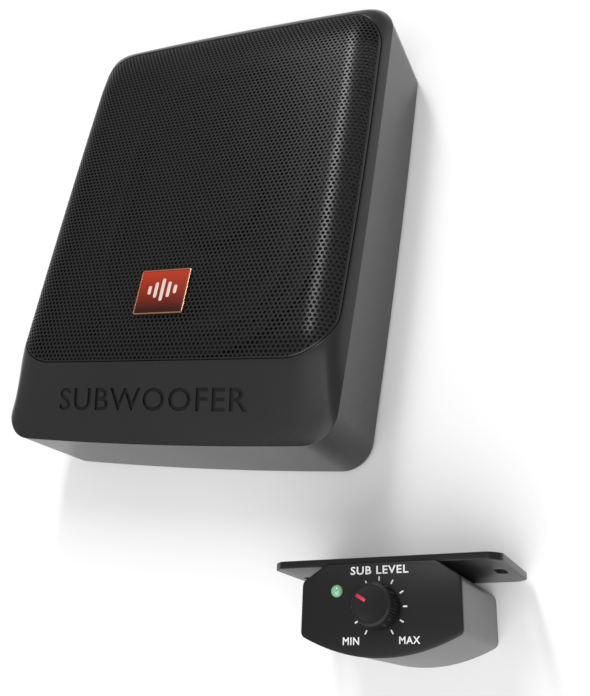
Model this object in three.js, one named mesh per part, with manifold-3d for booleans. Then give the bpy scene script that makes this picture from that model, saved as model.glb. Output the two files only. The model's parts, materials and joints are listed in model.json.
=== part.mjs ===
// Powered car subwoofer with a wired level remote.
// Millimetres, +Z up. X runs across the enclosure and Y along it, with the plain band at -Y
// and the connector panel at +Y. The origin is the middle of the enclosure's underside.
// The remote stands on its back on the same floor, with its face up.
import * as THREE from 'three';
import { mergeVertices } from 'three/addons/utils/BufferGeometryUtils.js';
import Module from 'manifold-3d';

const wasm = await Module();
wasm.setup();

// ---- Enclosure ----
const WIDTH = 200.6; // across the crease line between wall and face, at mid length
const LENGTH = 265.6;
const FACE_HEIGHT = 65.5; // underside to the top of the face
const FACE_RISE = 14.1; // from the crease line to the top of the face
const SIDE_SHOULDER = 21; // plan width over which the face rounds down to each side
const FAR_SHOULDER = 40; // and to the far end
const NEAR_RAMP = 47; // the plain band slopes up over this length
const RAMP_EASE = 0.15; // share of the ramp that eases it into the level top
const EDGE_SHOULDER = 6; // plan width of the tighter rounding all round the crease
const WALL = 3;
const FLARE = 1.4; // each wall leans out this far from the underside to the crease
const SIDE_BOW = 1.4; // each side wall bulges this far at mid length
const END_BOW = 2.2;
const CORNER_RADIUS = 16;
const GAP = 0.3; // between pieces that touch
const SCREW_CLEARANCE = 0.4; // between a screw's shank and its hole

// ---- Grille and its opening ----
const SIDE_BEZEL = 3.1;
const FAR_BEZEL = 8.6;
const BAND = 39; // plain band between the near edge and the grille
const OPENING_END_BOW = 0.4;
const OPENING_RADIUS = 24;
const RECESS_DEPTH = 15.5; // from the top of the face down to the deck that carries the driver
const DECK = 4;
const GRILLE_SHEET = 1;
const GRILLE_DROP = 0.2; // the grille's surface lies this far below the face's
const GRILLE_FLAT = 4; // half width of the strip along the grille's middle
const BADGE_WIDTH = 31;
const BADGE_LENGTH = 26;
const BADGE_THICKNESS = 1.2;
const BADGE_CORNER = 1.2;
const BADGE_X = -5;
const BADGE_FROM_EDGE = 37.6; // the opening's near edge to the badge's middle

// ---- Base ----
const BASE_PLATE = 2.5; // underside to the base plate's upper face
const PAD_PROUD = 0.6; // the pad in the middle of the plate, below the rest of it
const PAD = { x: 52, near: -66, far: 74, radius: 8 };
const FOOT_RADIUS = 9;
const FOOT_PROUD = 2; // below the underside
const FOOT_PLUG_RADIUS = 3;
const FOOT_PLUG_PROUD = 0.5; // above the base plate
const FOOT_EDGE = 1; // the foot's edge slopes in this far
const FOOT_INSET = 22; // from the enclosure's sides to a foot's centre
const BOSS_RADIUS = 4.5;
const BASE_SCREW_INSET = 9;
const BASE_SCREW_RADIUS = 1.6;
const BASE_SCREW_LENGTH = 13;
const BASE_HEAD_RADIUS = 3.3;
const BASE_HEAD_HEIGHT = 1.6;

// ---- Driver: a shallow oval woofer ----
const DRIVER_SIDE_MARGIN = 19.8; // from the grille's opening to the driver's flange
const DRIVER_END_MARGIN = 5.35;
const DRIVER_RADIUS = 62;
const FLANGE_WIDTH = 8; // flange outside the basket's wall
const FLANGE = 2;
const GASKET = 1;
const BASKET_WALL = 1.5;
const SURROUND_LIP = 2.5; // glued to the flange, outside the roll
const ROLL_WIDTH = 12;
const ROLL_HEIGHT = 5.5;
const RUBBER = 1;
const CONE_SHEET = 1.2;
const CONE_DEPTH = 20;
const COIL_RADIUS = 19;
const COIL_WALL = 1.2;
const COIL_GAP = 0.8; // between coil and steel, each side
const DUST_CAP_LAP = 8; // from the coil to the dust cap's edge
const DUST_CAP_RISE = 7;
const MAGNET_RADIUS = 45;
const MAGNET_HEIGHT = 11;
const TOP_PLATE_HEIGHT = 4.2;
const YOKE_PLATE = 3;
const SPIDER_RADIUS = 40;
const SPIDER_WAVES = 3;
const DRIVER_SCREW_RADIUS = 2;
const DRIVER_SCREW_LENGTH = 12; // under the head
const DRIVER_HEAD_RADIUS = 3.5;
const DRIVER_HEAD_HEIGHT = 2;
const YOKE_CLEARANCE = 0.8; // base plate to the yoke
const COIL_REACH = 3; // the coil reaches this far below the top plate

// ---- Connector panel, in a window in the far wall ----
const PANEL_WIDTH = 156;
const PANEL_HEIGHT = 34;
const PANEL_LOW = 8; // underside to the panel's lower edge
const PANEL = 2;
const PANEL_RECESS = 1.2; // the panel's face sits this far inside the wall's face
const ROW_SPACING = 14; // between the panel's two rows of fittings
const SOCKET_DEPTH = 13;
const SOCKET_WALL = 1.5;
const POWER_SOCKET = { x: 62, width: 22, height: 14 };
const SPEAKER_SOCKET = { x: 22, width: 15, height: 10 };
const REMOTE_SOCKET = { x: 22, width: 13, height: 10 };
const FUSE = { x: 41, width: 5, height: 19 };
const JACK_X = 3;
const JACK_RADIUS = 4.2;
const JACK_LENGTH = 8; // in front of the panel, and the same behind it
const JACK_BORE_RADIUS = 1.6;
const JACK_BORE_DEPTH = 7;
const SWITCH_X = -16;
const SWITCH_TRAVEL = 3;
const SWITCH_KNOB = 3.4;
const DIAL_X = [-34, -50, -66];
const DIAL_RADIUS = 5;
const LAMP_X = 12;
const LAMP_RADIUS = 1.5;

// ---- Amplifier ----
const BOARD_WIDTH = 150;
const BOARD_CLEARANCE = 4; // from the magnet to the board
const BOARD = 1.6;
const BOARD_HEIGHT = 6; // underside to the board's lower face
const CAPACITOR_RADIUS = 8;
const CAPACITOR_LENGTH = 22;
const CHOKE_RADIUS = 11;
const CHOKE_HEIGHT = 9;

// ---- Remote, in its own frame: X right, Y up its face, Z out of the face ----
const REMOTE_WIDTH = 68.5;
const REMOTE_TOP = 17.6; // the dial's axis to the top edge
const REMOTE_TOP_WIDTH = 48;
const REMOTE_SIDE_TOP = 10.9;
const REMOTE_SIDE_BOTTOM = -10.4;
const REMOTE_BOTTOM = -19.1;
const REMOTE_DEPTH = 62;
const REMOTE_WALL = 2;
const REMOTE_FACE = 2;
const EAR = 26; // the mounting plate reaches this far past each end of the face's top edge
const PLATE = 2;
const PLATE_CHAMFER = 4.6;
const PLATE_DEPTH = 60;
const SLOT_WIDTH = 5;
const SLOT_LENGTH = 12;
const SLOT_INSET = 6.5; // from the plate's end to the middle of its slot
const KNOB_RADIUS = 8.9;
const KNOB_HEIGHT = 10.5;
const NUT_WALL = 0.55; // at the middle of each flat
const KNOB_CLEARANCE = 0.8; // round the nut, inside the knob
const BUSHING_WALL = 0.9;
const BUSHING_HEIGHT = 2.4; // above the face
const POT_SIZE = 16;
const KNOB_CAVITY = 3;
const SHAFT_RADIUS = 2.8;
const SHAFT_HEIGHT = 8;
const POINTER_ANGLE = 60; // counterclockwise from the top, at rest
const POINTER_INNER = 2.5;
const POINTER_OUTER = 7.6;
const POINTER_WIDTH = 1.3;
const POINTER_DEPTH = 0.8;
const REMOTE_LAMP_X = -18.4;
const REMOTE_LAMP_Y = 6.7;
const REMOTE_LAMP_RADIUS = 2.5;
const REMOTE_PLACE = { x: 133.1, y: -198.9, turn: 7 }; // turn in degrees about Z

const radians = THREE.MathUtils.degToRad;
const group = new THREE.Group();

// ---- Materials ----
const colour = (value, roughness, metalness = 0) =>
  new THREE.MeshStandardMaterial({ color: value, roughness, metalness });
const SHELL = colour(0x3a3a3b, 0.45);
const BLACK = colour(0x151515, 0.5);
const GRILLE_BLACK = colour(0x1c1c1d, 0.4, 0.6);
const STEEL = colour(0xb4b4b4, 0.35, 1);
const DARK_STEEL = colour(0x2a2a2c, 0.45, 0.8);
const RUBBER_BLACK = colour(0x101010, 0.9);
const PAPER = colour(0x1b1b1c, 0.8);
const BADGE_RED = colour(0xc2361a, 0.3, 0.5);
const BOARD_GREEN = colour(0x14502a, 0.6);
const COPPER = colour(0xb06a34, 0.4, 0.8);
const FERRITE = colour(0x3c3c3e, 0.7);
const RED = colour(0xc01028, 0.5);
const WHITE = colour(0xe0e0e0, 0.5);
const GREEN_LENS = colour(0x7ac890, 0.2);
const FUSE_BLUE = colour(0x2060c0, 0.3);

// ---- Building blocks ----

// A rounded rectangle: x is its half width, near and far its ends along Y.
// Its sides bow out by bowX and its ends by bowY. Points run counterclockwise.
function outline({ x, near, far, radius, bowX = 0, bowY = 0 }, cornerSteps = 6, sideSteps = 4) {
  const middle = (near + far) / 2;
  const half = (far - near) / 2;
  const round = Math.max(0.2, Math.min(radius, x, half));
  const points = [];
  for (let corner = 0; corner < 4; corner++) {
    const signX = corner === 0 || corner === 3 ? 1 : -1;
    const signY = corner < 2 ? 1 : -1;
    for (let step = 0; step <= cornerSteps; step++) {
      const angle = (corner + step / cornerSteps) * Math.PI / 2;
      points.push(new THREE.Vector2(
        signX * (x - round) + round * Math.cos(angle),
        signY * (half - round) + round * Math.sin(angle),
      ));
    }
    const last = points[points.length - 1];
    const nextAngle = (corner + 1) * Math.PI / 2;
    const nextX = corner === 0 || corner === 1 ? -1 : 1;
    const nextY = corner === 0 || corner === 3 ? 1 : -1;
    const next = new THREE.Vector2(
      nextX * (x - round) + round * Math.cos(nextAngle),
      nextY * (half - round) + round * Math.sin(nextAngle),
    );
    for (let step = 1; step < sideSteps; step++) {
      points.push(last.clone().lerp(next, step / sideSteps));
    }
  }
  for (const point of points) {
    const bulgeX = bowX * (1 - (point.y / half) ** 2);
    const bulgeY = bowY * (1 - (point.x / x) ** 2);
    point.x += Math.sign(point.x) * bulgeX;
    point.y += Math.sign(point.y) * bulgeY + middle;
  }
  return points;
}

// The same rounded rectangle, smaller by d all round.
function inset(rect, d) {
  return { ...rect, x: rect.x - d, near: rect.near + d, far: rect.far - d, radius: rect.radius - d };
}

// Joins outlines, each at its height, into one closed body: bands between neighbours,
// and either caps on the first and last, or a last band back to the first.
// A height is a number, or a function of each point's x and y.
function body(sections, { ring = false } = {}) {
  const count = sections[0].points.length;
  const positions = [];
  for (const { points, z } of sections) {
    for (const { x, y } of points) positions.push(x, y, typeof z === 'function' ? z(x, y) : z);
  }
  const index = [];
  const bands = ring ? sections.length : sections.length - 1;
  for (let band = 0; band < bands; band++) {
    const low = band * count;
    const high = ((band + 1) % sections.length) * count;
    for (let i = 0; i < count; i++) {
      const j = (i + 1) % count;
      index.push(low + i, low + j, high + j, low + i, high + j, high + i);
    }
  }
  if (!ring) {
    const top = (sections.length - 1) * count;
    const caps = [[0, sections[0].points, true], [top, sections.at(-1).points, false]];
    for (const [start, points, flip] of caps) {
      for (const [a, b, c] of THREE.ShapeUtils.triangulateShape(points, [])) {
        index.push(start + a, start + (flip ? c : b), start + (flip ? b : c));
      }
    }
  }
  const geometry = new THREE.BufferGeometry();
  geometry.setAttribute('position', new THREE.Float32BufferAttribute(positions, 3));
  geometry.setIndex(index);
  return geometry;
}

// A straight-sided block with a rounded rectangle's outline.
function slab(rect, low, high, cornerSteps, sideSteps) {
  const points = outline(rect, cornerSteps, sideSteps);
  return body([{ points, z: low }, { points, z: high }]);
}

// A flat ring between two rounded rectangles.
function flatRing(outer, inner, low, high) {
  const outside = outline(outer);
  const inside = outline(inner);
  return body([
    { points: outside, z: low },
    { points: outside, z: high },
    { points: inside, z: high },
    { points: inside, z: low },
  ], { ring: true });
}

function box(x, y, z, width, depth, height) {
  return new THREE.BoxGeometry(width, depth, height).translate(x, y, z);
}

// An upright cylinder from low to high.
function post(x, y, low, high, radius, sides = 20) {
  const geometry = new THREE.CylinderGeometry(radius, radius, high - low, sides);
  return geometry.rotateX(Math.PI / 2).translate(x, y, (low + high) / 2);
}

// A cylinder lying along Y from near to far.
function bar(x, z, near, far, radius, sides = 20) {
  const geometry = new THREE.CylinderGeometry(radius, radius, far - near, sides);
  return geometry.translate(x, (near + far) / 2, z);
}

// A turned part about Z, from [radius, z] points.
function turned(points, sides = 28) {
  const profile = points.map(([radius, z]) => new THREE.Vector2(radius, z));
  return new THREE.LatheGeometry(profile, sides).rotateX(Math.PI / 2);
}

function solid(geometry) {
  const plain = geometry.clone();
  for (const name of ['normal', 'uv']) plain.deleteAttribute(name);
  const merged = mergeVertices(plain, 1e-4);
  const mesh = new wasm.Mesh({
    numProp: 3,
    vertProperties: new Float32Array(merged.attributes.position.array),
    triVerts: new Uint32Array(merged.index.array),
  });
  mesh.merge();
  return new wasm.Manifold(mesh);
}

function geometryOf(manifold) {
  const mesh = manifold.getMesh();
  const geometry = new THREE.BufferGeometry();
  geometry.setAttribute('position', new THREE.BufferAttribute(mesh.vertProperties, 3));
  geometry.setIndex(new THREE.BufferAttribute(mesh.triVerts, 1));
  return geometry;
}

function cut(geometry, ...tools) {
  const left = tools.reduce((rest, tool) => rest.subtract(solid(tool)), solid(geometry));
  return geometryOf(left);
}

function joined(first, ...others) {
  return geometryOf(others.reduce((sum, other) => sum.add(solid(other)), solid(first)));
}

function add(name, geometry, material, parent = group) {
  const mesh = new THREE.Mesh(geometry, material);
  mesh.name = name;
  parent.add(mesh);
  return mesh;
}

// ---- Housing: walls, rounded face and the deck under the grille, in one moulding ----
const wallHeight = FACE_HEIGHT - FACE_RISE;
const crease = {
  x: WIDTH / 2 - SIDE_BOW,
  near: END_BOW - LENGTH / 2,
  far: LENGTH / 2 - END_BOW,
  radius: CORNER_RADIUS,
  bowX: SIDE_BOW,
  bowY: END_BOW,
};
const opening = {
  x: crease.x - SIDE_BEZEL,
  near: crease.near + BAND,
  far: crease.far - FAR_BEZEL,
  radius: OPENING_RADIUS,
  bowX: SIDE_BOW,
  bowY: OPENING_END_BOW,
};
const recessFloor = FACE_HEIGHT - RECESS_DEPTH;
const deckUnderside = recessFloor - DECK;
const driverY = (opening.near + opening.far) / 2;
const frame = {
  x: opening.x - DRIVER_SIDE_MARGIN,
  near: opening.near + DRIVER_END_MARGIN,
  far: opening.far - DRIVER_END_MARGIN,
  radius: DRIVER_RADIUS,
};
const basketTop = inset(frame, FLANGE_WIDTH);
const deckHole = inset(basketTop, -GAP * 2);
const base = inset(crease, FLARE);

// How far a point lies inside a rounded rectangle with bowed sides.
function depthInside(rect, x, y) {
  const middle = (rect.near + rect.far) / 2;
  const half = (rect.far - rect.near) / 2;
  const along = y - middle;
  const acrossX = Math.abs(x) - rect.bowX * (1 - Math.min(1, (along / half) ** 2));
  const acrossY = Math.abs(along) - rect.bowY * (1 - Math.min(1, (x / rect.x) ** 2));
  const cornerX = acrossX - rect.x + rect.radius;
  const cornerY = acrossY - half + rect.radius;
  const reach = cornerX > 0 && cornerY > 0 ? Math.hypot(cornerX, cornerY) : Math.max(cornerX, cornerY);
  return rect.radius - reach;
}

// A quarter of an ellipse: 0 at the edge, where it is steep, and 1 from the end of its width on.
function shoulder(distance, width) {
  return Math.sqrt(1 - (1 - THREE.MathUtils.clamp(distance / width, 0, 1)) ** 2);
}

// A straight slope that eases into the level top.
function ramp(distance, length) {
  const start = 1 - RAMP_EASE;
  const part = THREE.MathUtils.clamp(distance / length, 0, 1 + RAMP_EASE);
  return part < start ? part : part - (part - start) ** 2 / (4 * RAMP_EASE);
}

// Height of the face over a point: it rounds down to the sides and the far end,
// and slopes down to the near end.
function faceHeight(x, y) {
  const bow = crease.bowY * (1 - Math.min(1, (x / crease.x) ** 2));
  const side = crease.x + crease.bowX * (1 - (y / crease.far) ** 2) - Math.abs(x);
  const rise = shoulder(side, SIDE_SHOULDER) * shoulder(crease.far + bow - y, FAR_SHOULDER)
    * ramp(y - crease.near + bow, NEAR_RAMP) * shoulder(depthInside(crease, x, y), EDGE_SHOULDER);
  return wallHeight + FACE_RISE * rise;
}

// Corner screws of the driver sit halfway across its flange, at the middle of each corner.
const flangeMiddle = (inset(frame, FLANGE_WIDTH / 2).radius) * Math.SQRT1_2;
const driverScrews = [[1, 1], [-1, 1], [-1, -1], [1, -1]].map(([signX, signY]) => [
  signX * (frame.x - frame.radius + flangeMiddle),
  driverY + signY * (frame.far - driverY - frame.radius + flangeMiddle),
]);

const bossX = base.x - BASE_SCREW_INSET;
const bossY = base.far - BASE_SCREW_INSET;
const baseScrews = [-1, 1].flatMap((signX) => [-1, 0, 1].map((row) => [signX * bossX, row * bossY]));

const panelMiddle = PANEL_LOW + PANEL_HEIGHT / 2;
const wallFace = base.far + FLARE * (panelMiddle / wallHeight);
const panelFace = wallFace - PANEL_RECESS;
const panelBack = panelFace - PANEL;

function housing() {
  const sections = [
    { points: outline(base), z: 0 },
    { points: outline(crease), z: wallHeight },
  ];
  for (const part of [0.008, 0.025, 0.05, 0.08, 0.12, 0.17, 0.23, 0.32, 0.42, 0.6, 0.8]) {
    sections.push({ points: outline(inset(crease, crease.x * part)), z: faceHeight });
  }
  const inside = inset(base, WALL);
  const cavity = slab(inside, -1, deckUnderside);
  const underBand = slab(
    { ...inset(inside, WALL), far: opening.near - WALL, radius: WALL * 3, bowX: 0, bowY: 0 },
    deckUnderside - 1,
    wallHeight - WALL,
  );
  const recess = slab(opening, recessFloor, FACE_HEIGHT + 1);
  const driverHole = slab(deckHole, deckUnderside - 1, recessFloor + 1);
  const windowHeight = PANEL_HEIGHT + 2 * GAP;
  const panelWindow = box(0, wallFace, panelMiddle, PANEL_WIDTH + 2 * GAP, 6 * WALL, windowHeight);
  const pilots = driverScrews.map(([x, y]) =>
    post(x, y, deckUnderside - 1, recessFloor + 1, DRIVER_SCREW_RADIUS + SCREW_CLEARANCE, 12));
  const shell = cut(cut(body(sections), cavity), underBand, recess, driverHole, panelWindow, ...pilots);
  const bosses = baseScrews.map(([x, y]) =>
    post(x, y, BASE_PLATE + GAP, deckUnderside + 1, BOSS_RADIUS, 16));
  const bossHoles = baseScrews.map(([x, y]) =>
    post(x, y, BASE_PLATE, BASE_SCREW_LENGTH + 3, BASE_SCREW_RADIUS + SCREW_CLEARANCE, 12));
  return cut(joined(shell, ...bosses), ...bossHoles);
}
add('housing_shell', housing(), SHELL);

// ---- Base plate, its screws and the feet ----
const plateRect = inset(base, WALL + GAP);
const footX = base.x - FOOT_INSET;
const footY = base.far - FOOT_INSET;
const feet = [[-1, -1], [1, -1], [1, 1], [-1, 1]].map(([x, y]) => [x * footX, y * footY]);
const screwHoles = baseScrews.map(([x, y]) =>
  post(x, y, -1, BASE_PLATE + 1, BASE_SCREW_RADIUS + SCREW_CLEARANCE, 12));
const screwSinks = baseScrews.map(([x, y]) =>
  post(x, y, -1, BASE_HEAD_HEIGHT + GAP, BASE_HEAD_RADIUS + GAP, 16));
const footHoles = feet.map(([x, y]) => post(x, y, -1, BASE_PLATE + 1, FOOT_PLUG_RADIUS + GAP, 16));
add('base_plate', cut(
  joined(slab(plateRect, PAD_PROUD, BASE_PLATE), slab(PAD, 0, BASE_PLATE - PAD_PROUD)),
  ...screwHoles,
  ...screwSinks,
  ...footHoles,
), DARK_STEEL);

baseScrews.forEach(([x, y], i) => {
  const screw = turned([
    [0, GAP],
    [BASE_HEAD_RADIUS, GAP],
    [BASE_HEAD_RADIUS, BASE_HEAD_HEIGHT - 0.1],
    [BASE_SCREW_RADIUS, BASE_HEAD_HEIGHT],
    [BASE_SCREW_RADIUS, BASE_SCREW_LENGTH - 1],
    [0, BASE_SCREW_LENGTH],
  ], 16);
  add(`base_screw_${i + 1}`, screw, STEEL).position.set(x, y, 0);
});

feet.forEach(([x, y], i) => {
  const foot = turned([
    [0, -FOOT_PROUD],
    [FOOT_RADIUS - FOOT_EDGE, -FOOT_PROUD],
    [FOOT_RADIUS, PAD_PROUD - GAP],
    [FOOT_PLUG_RADIUS, PAD_PROUD - GAP],
    [FOOT_PLUG_RADIUS, BASE_PLATE + FOOT_PLUG_PROUD],
    [0, BASE_PLATE + FOOT_PLUG_PROUD],
  ], 18);
  add(`foot_${i + 1}`, foot, RUBBER_BLACK).position.set(x, y, 0);
});

// ---- Driver, from the deck up ----
const gasketLow = recessFloor + GAP;
const flangeLow = gasketLow + GASKET + GAP;
const flangeTop = flangeLow + FLANGE;
const rollLow = flangeTop + GAP;

add('driver_gasket', cut(
  flatRing(frame, deckHole, gasketLow, gasketLow + GASKET),
  ...driverScrews.map(([x, y]) =>
    post(x, y, gasketLow - 1, flangeLow, DRIVER_SCREW_RADIUS + SCREW_CLEARANCE, 12)),
), RUBBER_BLACK);

const yokeLow = BASE_PLATE + YOKE_CLEARANCE;
const magnetLow = yokeLow + YOKE_PLATE + GAP;
const topPlateLow = magnetLow + MAGNET_HEIGHT + GAP;
const topPlateTop = topPlateLow + TOP_PLATE_HEIGHT;
const basketLow = topPlateTop + GAP;
const poleRadius = COIL_RADIUS - COIL_WALL - COIL_GAP;
const topPlateBore = COIL_RADIUS + COIL_GAP;

function circle(radius) {
  return { x: radius, near: driverY - radius, far: driverY + radius, radius };
}

// A round section of a basket or cone, between a racetrack (part 0) and a circle (part 1).
function blend(track, radius, part) {
  const round = circle(radius);
  const mix = (a, b) => a + (b - a) * part;
  return {
    x: mix(track.x, round.x),
    near: mix(track.near, round.near),
    far: mix(track.far, round.far),
    radius: mix(Math.min(track.radius, track.x), round.radius),
  };
}

function basket() {
  const floorRadius = MAGNET_RADIUS + 4;
  const wallRects = [0, 0.5, 1].map((part) => blend(basketTop, floorRadius, part));
  const heights = [flangeLow + 0.5, (flangeLow + basketLow) / 2, basketLow];
  const outerWall = wallRects.map((rect, i) => ({ points: outline(rect), z: heights[i] }));
  const innerWall = wallRects.map((rect, i) => ({
    points: outline(inset(rect, BASKET_WALL)),
    z: heights[i] + (i === 2 ? BASKET_WALL : 0),
  }));
  const outside = body([...outerWall].reverse());
  const lid = { points: innerWall[0].points, z: flangeTop + 1 };
  const hollow = body([lid, ...innerWall].reverse());
  const neck = post(0, driverY, basketLow - 1, basketLow + 4, topPlateBore + 1, 28);
  const windows = [0, 60, 120].map((degrees) => {
    const slot = box(0, 0, (basketLow + flangeLow) / 2, 240, 26, (flangeLow - basketLow) * 0.42);
    return slot.rotateZ(radians(degrees)).translate(0, driverY, 0);
  });
  const wall = cut(outside, hollow, neck, ...windows);
  const flange = flatRing(frame, inset(basketTop, BASKET_WALL), flangeLow, flangeTop);
  const holes = driverScrews.map(([x, y]) =>
    post(x, y, flangeLow - 1, flangeTop + 1, DRIVER_SCREW_RADIUS + SCREW_CLEARANCE, 12));
  return cut(joined(flange, wall), ...holes);
}
add('driver_basket', basket(), DARK_STEEL);

driverScrews.forEach(([x, y], i) => {
  const seat = flangeTop + GAP;
  const shank = DRIVER_SCREW_RADIUS;
  const tip = seat - DRIVER_SCREW_LENGTH;
  const screw = turned([
    [0, tip],
    [shank, tip + 1],
    [shank, seat],
    [DRIVER_HEAD_RADIUS, seat],
    [DRIVER_HEAD_RADIUS - 0.5, seat + DRIVER_HEAD_HEIGHT * 0.8],
    [0, seat + DRIVER_HEAD_HEIGHT],
  ], 16);
  add(`driver_screw_${i + 1}`, screw, STEEL).position.set(x, y, 0);
});

// The surround's half roll joins the flange to the cone's edge.
const rollOuter = inset(basketTop, SURROUND_LIP);
const coneEdge = inset(rollOuter, ROLL_WIDTH);
function surround() {
  const profile = [[-SURROUND_LIP, RUBBER], [-SURROUND_LIP, 0]];
  const steps = 5;
  const half = ROLL_WIDTH / 2;
  for (let step = 0; step <= steps; step++) {
    const angle = step / steps * Math.PI;
    profile.push([half - (half - RUBBER) * Math.cos(angle), (ROLL_HEIGHT - RUBBER) * Math.sin(angle)]);
  }
  profile.push([ROLL_WIDTH + SURROUND_LIP, 0], [ROLL_WIDTH + SURROUND_LIP, RUBBER]);
  for (let step = steps; step >= 0; step--) {
    const angle = step / steps * Math.PI;
    profile.push([half - half * Math.cos(angle), RUBBER + (ROLL_HEIGHT - RUBBER) * Math.sin(angle)]);
  }
  const sections = profile.map(([d, z]) => ({ points: outline(inset(rollOuter, d)), z: rollLow + z }));
  return body(sections.reverse(), { ring: true });
}
add('surround', surround(), RUBBER_BLACK);

// The cone hangs under the surround's inner lip and runs down to the coil.
const coneTop = rollLow - GAP;
const coneLow = coneTop - CONE_DEPTH;
function cone() {
  const depths = [0, 0.06, 0.3, 0.65, 1];
  const rects = depths.map((part) => blend(coneEdge, COIL_RADIUS + 1.2, part));
  const heights = depths.map((part) => coneTop - CONE_DEPTH * Math.max(0, (part - 0.06) / 0.94) ** 0.85);
  const above = rects.map((rect, i) => ({ points: outline(rect), z: heights[i] }));
  const below = rects.map((rect, i) => ({
    points: outline(inset(rect, i === 4 ? 0 : 0.4)),
    z: heights[i] - CONE_SHEET,
  }));
  const edge = above[0];
  const inner = { points: outline(circle(COIL_RADIUS + GAP)), z: coneLow };
  const innerLow = { points: inner.points, z: coneLow - CONE_SHEET };
  const sections = [edge, ...above.slice(1), inner, innerLow, ...[...below].reverse()];
  return body(sections, { ring: true });
}
add('cone', cone(), PAPER);

function dustCap() {
  const rim = coneLow + CONE_DEPTH * 0.3;
  const top = [];
  const under = [];
  const steps = 4;
  for (let step = 0; step <= steps; step++) {
    const part = step / steps;
    const radius = (COIL_RADIUS + DUST_CAP_LAP) * (1 - part);
    const height = rim + DUST_CAP_RISE * (1 - (1 - part) ** 2);
    top.push([radius, height + 1]);
    under.unshift([radius, height]);
  }
  return turned([...under, ...top]);
}
add('dust_cap', dustCap(), PAPER).position.y = driverY;

const coilLow = topPlateLow - COIL_REACH;
add('voice_coil', turned([
  [COIL_RADIUS, coilLow], [COIL_RADIUS, coneLow + 3],
  [COIL_RADIUS - COIL_WALL, coneLow + 3], [COIL_RADIUS - COIL_WALL, coilLow], [COIL_RADIUS, coilLow],
]), COPPER).position.y = driverY;

// The spider is a corrugated ring between the coil and the basket's floor.
const spiderLow = basketLow + BASKET_WALL + GAP;
function spider() {
  const inner = COIL_RADIUS + GAP;
  const steps = SPIDER_WAVES * 4;
  const wave = (part) => 1.2 * (1 - Math.cos(part * SPIDER_WAVES * 2 * Math.PI)) / 2;
  const lower = [];
  const upper = [];
  for (let step = 0; step <= steps; step++) {
    const part = step / steps;
    const radius = inner + (SPIDER_RADIUS - inner) * part;
    lower.push([radius, spiderLow + wave(part)]);
    upper.unshift([radius, spiderLow + wave(part) + 0.6]);
  }
  return turned([...lower, ...upper, lower[0]]);
}
add('spider', spider(), colour(0xb08a3c, 0.9)).position.y = driverY;

add('top_plate', turned([
  [topPlateBore, topPlateLow], [MAGNET_RADIUS - 2, topPlateLow], [MAGNET_RADIUS - 2, topPlateTop],
  [topPlateBore, topPlateTop], [topPlateBore, topPlateLow],
]), STEEL).position.y = driverY;

add('magnet', turned([
  [topPlateBore + 5, magnetLow], [MAGNET_RADIUS, magnetLow], [MAGNET_RADIUS, magnetLow + MAGNET_HEIGHT],
  [topPlateBore + 5, magnetLow + MAGNET_HEIGHT], [topPlateBore + 5, magnetLow],
]), FERRITE).position.y = driverY;

add('yoke', turned([
  [0, yokeLow], [MAGNET_RADIUS - 1, yokeLow], [MAGNET_RADIUS - 1, yokeLow + YOKE_PLATE],
  [poleRadius, yokeLow + YOKE_PLATE], [poleRadius, topPlateTop], [0, topPlateTop],
]), STEEL).position.y = driverY;

// ---- Grille: a sheet that carries on the face's curve, with a skirt that stands on the deck ----
function grille() {
  const reach = Math.min(opening.x, (opening.far - opening.near) / 2) - GRILLE_FLAT;
  const shell = (extra) => {
    const edge = inset(opening, GAP + extra);
    const loops = [0, 0.01, 0.035, 0.07, 0.12, 0.18, 0.26, 0.42, 0.65, 1].map((part) => part * reach);
    return [
      { points: outline(edge), z: recessFloor + (extra ? -1 : GAP) },
      ...loops.map((d) => ({
        points: outline(inset(edge, d)),
        z: (x, y) => faceHeight(x, y) - GRILLE_DROP - extra,
      })),
    ];
  };
  return cut(body(shell(0)), body(shell(GRILLE_SHEET)));
}
add('grille', grille(), GRILLE_BLACK);

const badgeLow = FACE_HEIGHT - GRILLE_DROP + GAP;
const badgeY = opening.near + BADGE_FROM_EDGE;
const badgeHalf = BADGE_LENGTH / 2;
const badgeRect = { x: BADGE_WIDTH / 2, near: -badgeHalf, far: badgeHalf, radius: BADGE_CORNER };
const badge = slab(badgeRect, badgeLow, badgeLow + BADGE_THICKNESS, 3, 1);
add('badge', badge, BADGE_RED).position.set(BADGE_X, badgeY, 0);

// ---- Connector panel ----
const rows = [panelMiddle + ROW_SPACING / 2, panelMiddle - ROW_SPACING / 2];
const sockets = {
  power_socket: { ...POWER_SOCKET, z: panelMiddle },
  speaker_level_socket: { ...SPEAKER_SOCKET, z: rows[0] },
  remote_socket: { ...REMOTE_SOCKET, z: rows[1] },
};
const jacks = { rca_jack_left: rows[0], rca_jack_right: rows[1] };
const switches = { phase_switch: rows[0], input_switch: rows[1] };
const switchSlot = SWITCH_KNOB + SWITCH_TRAVEL + 2 * GAP;

function socketHole({ x, z, width, height }) {
  return box(x, panelFace, z, width + 2 * GAP, 6 * PANEL, height + 2 * GAP);
}

add('connector_panel', cut(
  box(0, (panelFace + panelBack) / 2, panelMiddle, PANEL_WIDTH, PANEL, PANEL_HEIGHT),
  ...Object.values(sockets).map(socketHole),
  socketHole({ ...FUSE, z: panelMiddle }),
  ...Object.values(jacks).map((z) => bar(JACK_X, z, panelBack - 1, panelFace + 1, JACK_RADIUS + GAP)),
  ...Object.values(switches).map((z) =>
    box(SWITCH_X, panelFace, z, switchSlot, 6 * PANEL, SWITCH_KNOB + 2 * GAP)),
  ...DIAL_X.map((x) => bar(x, panelMiddle, panelBack - 1, panelFace + 1, DIAL_RADIUS + GAP)),
  bar(LAMP_X, panelMiddle, panelBack - 1, panelFace + 1, LAMP_RADIUS + GAP, 12),
), BLACK);

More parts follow.
